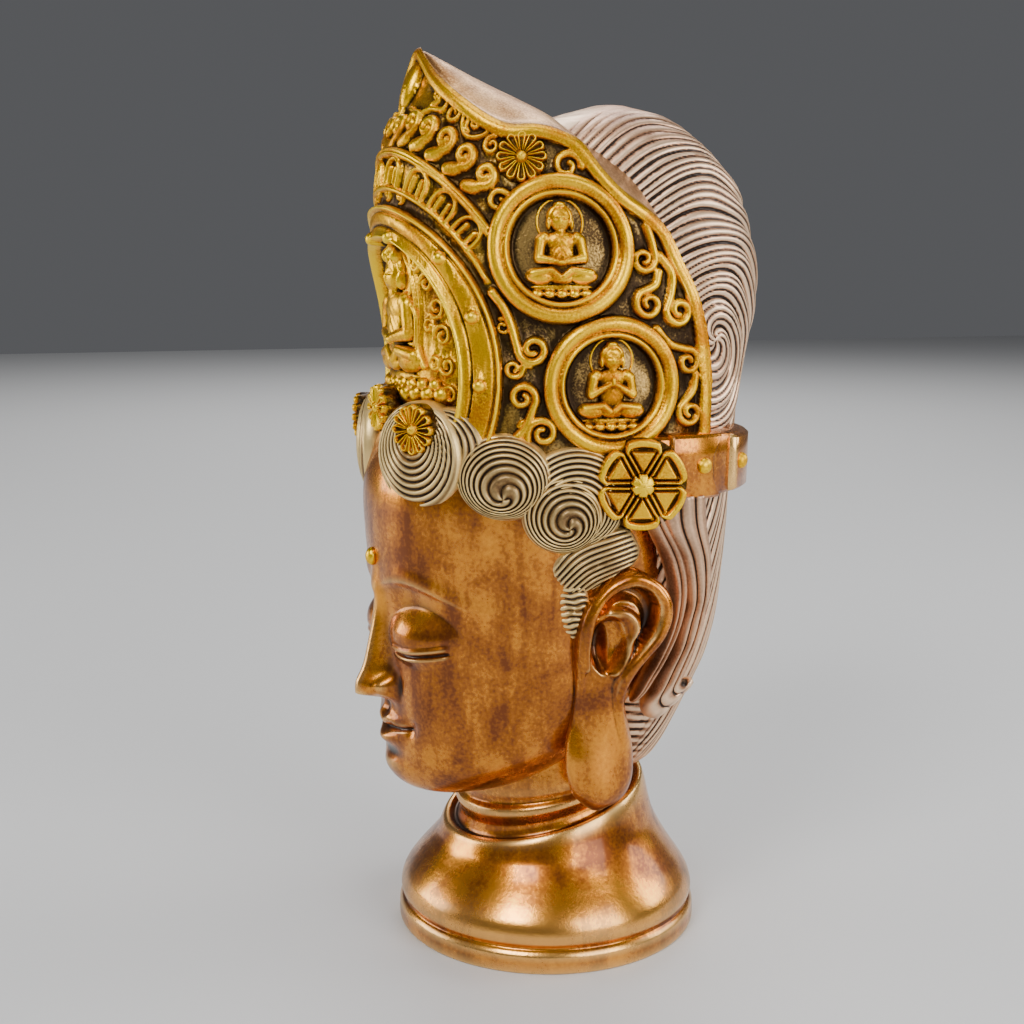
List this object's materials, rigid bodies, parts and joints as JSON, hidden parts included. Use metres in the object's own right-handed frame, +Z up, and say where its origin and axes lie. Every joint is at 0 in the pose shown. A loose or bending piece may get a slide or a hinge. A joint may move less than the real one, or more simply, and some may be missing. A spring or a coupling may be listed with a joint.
{
  "type": "guanyin head statue",
  "caption": "Cast bronze head of Guanyin in a tall relief crown with medallions and coiled hair, long ears and a high bun, standing on a flared round neck.",
  "frame": {"origin": "centre of the flat underside of the stand", "axes": "+Z up, the face looks towards -Y, the figure's left is +X"},
  "size_m": [0.1794, 0.1949, 0.4001],
  "materials": {
    "patinated_bronze": "hand-rubbed brown patina, polished on the face and stand",
    "hair_patina": "dull pinkish brown patina with dark grooves",
    "gold_wash": "worn gold paint over a dark brown ground"
  },
  "bodies": {
    "root": {"head_casting": "patinated_bronze"}
  },
  "joints": []
}
